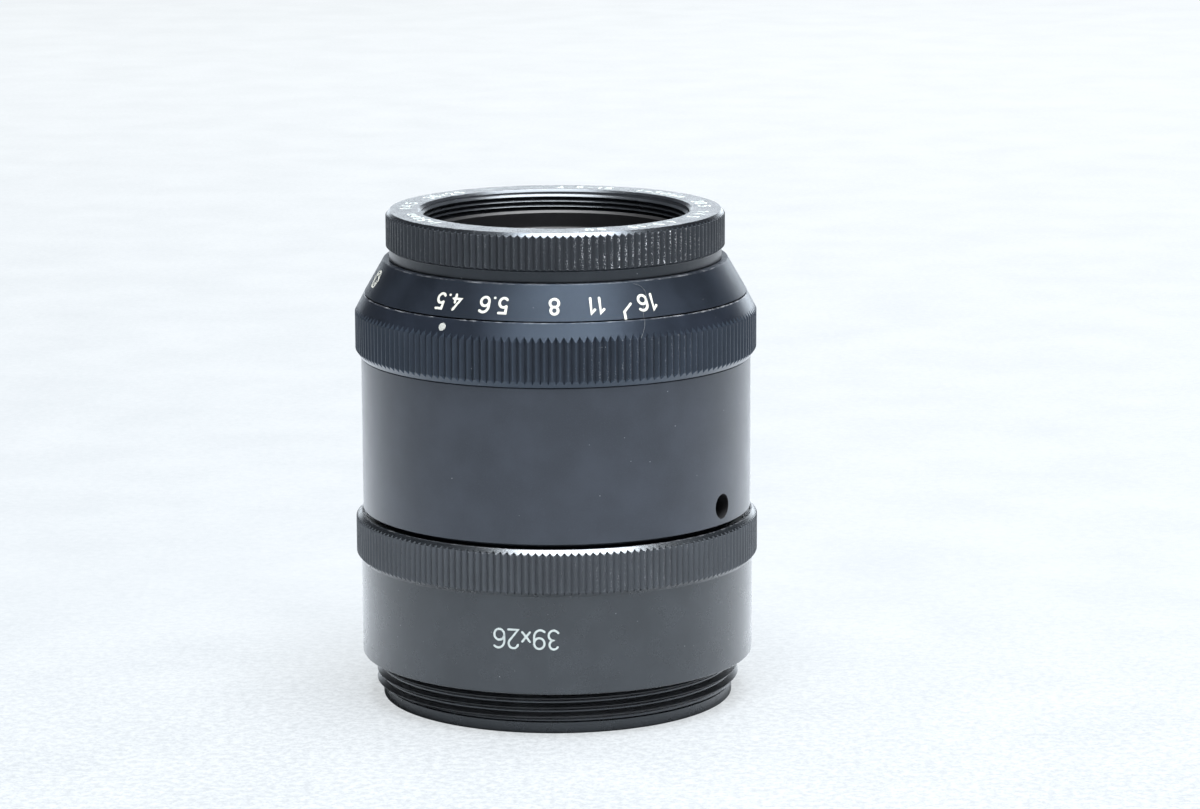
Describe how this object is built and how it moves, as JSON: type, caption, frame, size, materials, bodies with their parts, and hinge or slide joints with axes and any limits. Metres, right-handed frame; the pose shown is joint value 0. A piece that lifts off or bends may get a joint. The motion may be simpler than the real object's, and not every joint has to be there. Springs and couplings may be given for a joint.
{
  "type": "enlarger lens",
  "caption": "Darkroom enlarging lens with a knurled aperture ring that closes an iris, on a short extension tube with a male lens thread",
  "frame": {"origin": "centre of the rear end face of the extension tube, which the lens stands on", "axes": "+Z along the optical axis towards the front of the lens; -Y is the side of the aperture scale with the number 8"},
  "size_m": [0.043, 0.043, 0.0525],
  "materials": {
    "barrel_black": "satin black anodised",
    "scale_black": "satin black anodised, engraved scale filled with cream paint",
    "ring_black": "satin black anodised, straight knurling",
    "inner_black": "matte black",
    "blade_steel": "blackened spring steel",
    "bright_steel": "bright steel",
    "coated_glass": "polished, single coated",
    "scale_paint": "cream engraving paint"
  },
  "bodies": {
    "head": {"extension_tube": "barrel_black", "head_barrel": "barrel_black", "lens_barrel": "inner_black", "rear_lock_ring": "inner_black", "scale_cone": "scale_black", "front_ring": "ring_black", "click_ball": "bright_steel", "click_spring": "bright_steel", "iris_base_ring": "inner_black", "iris_retainer": "inner_black", "front_cell": "inner_black", "front_element": "coated_glass", "front_retaining_ring": "inner_black", "element_spacer": "inner_black", "second_element": "coated_glass", "rear_cell": "inner_black", "third_element": "coated_glass", "fourth_element": "coated_glass", "rear_retaining_ring": "inner_black"},
    "aperture": {"aperture_ring": "ring_black", "drive_screw": "bright_steel", "iris_cam_ring": "inner_black"},
    "blade_01": {"iris_blade_01": "blade_steel"},
    "blade_02": {"iris_blade_02": "blade_steel"},
    "blade_03": {"iris_blade_03": "blade_steel"},
    "blade_04": {"iris_blade_04": "blade_steel"},
    "blade_05": {"iris_blade_05": "blade_steel"},
    "blade_06": {"iris_blade_06": "blade_steel"},
    "blade_07": {"iris_blade_07": "blade_steel"},
    "blade_08": {"iris_blade_08": "blade_steel"},
    "blade_09": {"iris_blade_09": "blade_steel"},
    "blade_10": {"iris_blade_10": "blade_steel"}
  },
  "joints": [
    {"name": "aperture_turn", "type": "hinge", "parent": "head", "child": "aperture", "pos_m": [0, 0, 0.0399], "axis": [0, 0, 1], "range_deg": [0, 54.6]},
    {"name": "blade_01_pivot", "type": "hinge", "parent": "head", "child": "blade_01", "pos_m": [0.0089, 0.00647, 0.0385], "axis": [0, 0, 1], "range_deg": [-20.93, 0]},
    {"name": "blade_02_pivot", "type": "hinge", "parent": "head", "child": "blade_02", "pos_m": [0.0034, 0.01046, 0.0385], "axis": [0, 0, 1], "range_deg": [-20.93, 0]},
    {"name": "blade_03_pivot", "type": "hinge", "parent": "head", "child": "blade_03", "pos_m": [-0.0034, 0.01046, 0.0385], "axis": [0, 0, 1], "range_deg": [-20.93, 0]},
    {"name": "blade_04_pivot", "type": "hinge", "parent": "head", "child": "blade_04", "pos_m": [-0.0089, 0.00647, 0.0385], "axis": [0, 0, 1], "range_deg": [-20.93, 0]},
    {"name": "blade_05_pivot", "type": "hinge", "parent": "head", "child": "blade_05", "pos_m": [-0.011, 0, 0.0385], "axis": [0, 0, 1], "range_deg": [-20.93, 0]},
    {"name": "blade_06_pivot", "type": "hinge", "parent": "head", "child": "blade_06", "pos_m": [-0.0089, -0.00647, 0.0385], "axis": [0, 0, 1], "range_deg": [-20.93, 0]},
    {"name": "blade_07_pivot", "type": "hinge", "parent": "head", "child": "blade_07", "pos_m": [-0.0034, -0.01046, 0.0385], "axis": [0, 0, 1], "range_deg": [-20.93, 0]},
    {"name": "blade_08_pivot", "type": "hinge", "parent": "head", "child": "blade_08", "pos_m": [0.0034, -0.01046, 0.0385], "axis": [0, 0, 1], "range_deg": [-20.93, 0]},
    {"name": "blade_09_pivot", "type": "hinge", "parent": "head", "child": "blade_09", "pos_m": [0.0089, -0.00647, 0.0385], "axis": [0, 0, 1], "range_deg": [-20.93, 0]},
    {"name": "blade_10_pivot", "type": "hinge", "parent": "head", "child": "blade_10", "pos_m": [0.011, 0, 0.0385], "axis": [0, 0, 1], "range_deg": [-20.93, 0]}
  ],
  "couplings": [
    {"joint": "blade_01_pivot", "follows": "aperture_turn", "ratio": -0.38305},
    {"joint": "blade_02_pivot", "follows": "aperture_turn", "ratio": -0.38305},
    {"joint": "blade_03_pivot", "follows": "aperture_turn", "ratio": -0.38305},
    {"joint": "blade_04_pivot", "follows": "aperture_turn", "ratio": -0.38305},
    {"joint": "blade_05_pivot", "follows": "aperture_turn", "ratio": -0.38305},
    {"joint": "blade_06_pivot", "follows": "aperture_turn", "ratio": -0.38305},
    {"joint": "blade_07_pivot", "follows": "aperture_turn", "ratio": -0.38305},
    {"joint": "blade_08_pivot", "follows": "aperture_turn", "ratio": -0.38305},
    {"joint": "blade_09_pivot", "follows": "aperture_turn", "ratio": -0.38305},
    {"joint": "blade_10_pivot", "follows": "aperture_turn", "ratio": -0.38305}
  ]
}
